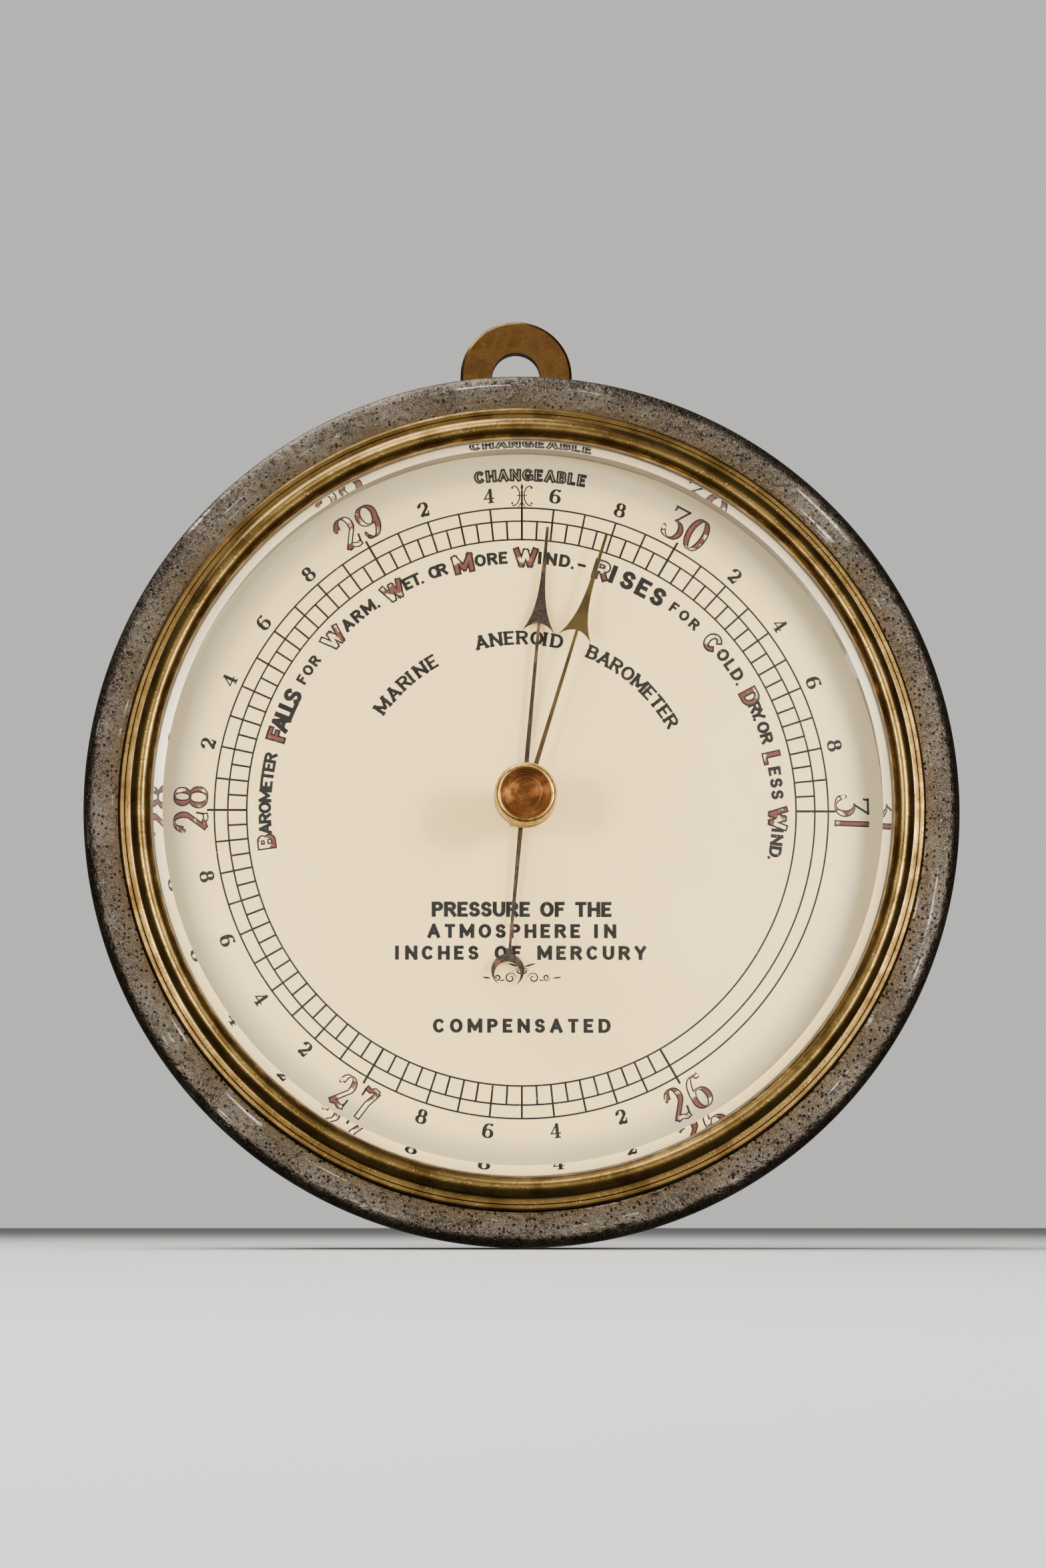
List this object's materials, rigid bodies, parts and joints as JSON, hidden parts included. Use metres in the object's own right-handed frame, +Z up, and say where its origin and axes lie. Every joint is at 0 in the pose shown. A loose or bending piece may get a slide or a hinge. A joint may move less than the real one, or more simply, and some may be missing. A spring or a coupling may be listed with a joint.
{
  "type": "ship barometer",
  "caption": "Round aneroid barometer in a plated drum case with a brass bezel, bevelled glass, cream dial, pressure hand, set hand with a knurled knob, and a hanging lug.",
  "frame": {"origin": "centre of the flat back face of the drum case", "axes": "+Z up towards the hanging lug, +Y out of the back into the wall, dial facing -Y, +X to the right as one reads the dial"},
  "size_m": [0.152, 0.077, 0.1735],
  "materials": {
    "plated_case": "worn and pitted nickel plate over brass",
    "aged_brass": "polished brass with brown age stains",
    "brass": "turned brass",
    "bronze_hand": "dull bronzed brass",
    "clear_glass": "clear, with a bevelled edge",
    "wall_silvered": "dulled silvered brass",
    "dial_enamel": "glossy warm cream enamel",
    "capsule_metal": "corrugated sheet, satin",
    "blued_steel": "dark blued steel",
    "steel": "bright steel"
  },
  "bodies": {
    "case": {"case_drum": "plated_case", "hanging_lug": "aged_brass", "lug_screws": "brass", "case_screws": "brass", "bezel_seat_ring": "brass", "bezel": "aged_brass", "glass": "clear_glass", "glass_bush": "aged_brass", "bush_nut": "brass", "wall_ring": "wall_silvered", "dial": "dial_enamel", "dial_plate": "brass", "dial_pillars": "brass", "dial_screws": "steel", "base_plate": "brass", "spacer_washers": "brass", "capsule_lower": "capsule_metal", "capsule_upper": "capsule_metal", "capsule_stud": "brass", "spring_block": "brass", "block_screws": "steel", "mainspring": "blued_steel", "spring_clamp": "brass", "clamp_screws": "steel", "shaft_brackets": "brass", "bracket_screws": "steel", "bridge_pillars": "brass", "movement_bridge": "brass", "bridge_screws": "steel", "arbor_bush": "brass", "arbor_cock": "brass", "hairspring": "blued_steel", "hairspring_stud": "brass"},
    "hand_train": {"hand_arbor": "steel", "arbor_pulley": "brass", "hairspring_collet": "brass", "hand_collet": "brass", "pressure_hand": "blued_steel"},
    "set_hand_train": {"set_hand": "bronze_hand", "set_spindle": "aged_brass", "set_knob": "aged_brass"},
    "rocker": {"rocking_shaft": "steel", "chain_arm": "brass", "short_arm": "brass", "arm_pin": "steel", "arbor_chain": "steel"},
    "lever": {"main_lever": "brass", "compensation_bar": "capsule_metal", "lever_screws": "steel", "lever_pin": "steel"},
    "link": {"connecting_link": "steel"},
    "post": {"capsule_post": "brass", "post_pin": "steel"},
    "adjuster": {"adjusting_screw": "steel"}
  },
  "joints": [
    {"name": "hand_turn", "type": "hinge", "parent": "case", "child": "hand_train", "pos_m": [0, -0.04, 0], "axis": [0, 1, 0], "range_deg": [-215.1, 84.9], "stiffness_Nm_per_rad": 0.0005, "deforming": ["hairspring"]},
    {"name": "regulator_rock", "type": "hinge", "parent": "case", "child": "rocker", "pos_m": [-0.034, -0.014, 0], "axis": [0, 0, -1], "range_deg": [-21.94, 8.66], "deforming": ["arbor_chain"]},
    {"name": "lever_tilt", "type": "hinge", "parent": "case", "child": "lever", "pos_m": [0.027, -0.0227, 0], "axis": [0, 0, -1], "range_deg": [-1.35, 0.53], "deforming": ["mainspring"]},
    {"name": "link_swing", "type": "hinge", "parent": "lever", "child": "link", "pos_m": [-0.038, -0.0212, 0], "axis": [0, 0, 1], "range_deg": [-1.35, 0.53]},
    {"name": "capsule_flex", "type": "slide", "parent": "case", "child": "post", "axis": [0, 1, 0], "range_m": [-0.0006363, 0.0002511], "deforming": ["capsule_upper"]},
    {"name": "set_hand_turn", "type": "hinge", "parent": "case", "child": "set_hand_train", "pos_m": [0, -0.054, 0], "axis": [0, 1, 0], "continuous": true},
    {"name": "adjusting_screw_turn", "type": "hinge", "parent": "case", "child": "adjuster", "pos_m": [0.033, -0.004, 0], "axis": [0, 1, 0], "range_deg": [-180, 180]}
  ],
  "couplings": [
    {"joint": "regulator_rock", "follows": "hand_turn", "ratio": 0.1},
    {"joint": "lever_tilt", "follows": "hand_turn", "ratio": 0.0061538},
    {"joint": "link_swing", "follows": "hand_turn", "ratio": 0.0061538},
    {"joint": "capsule_flex", "follows": "hand_turn", "m_per_rad": 0.00016615}
  ]
}
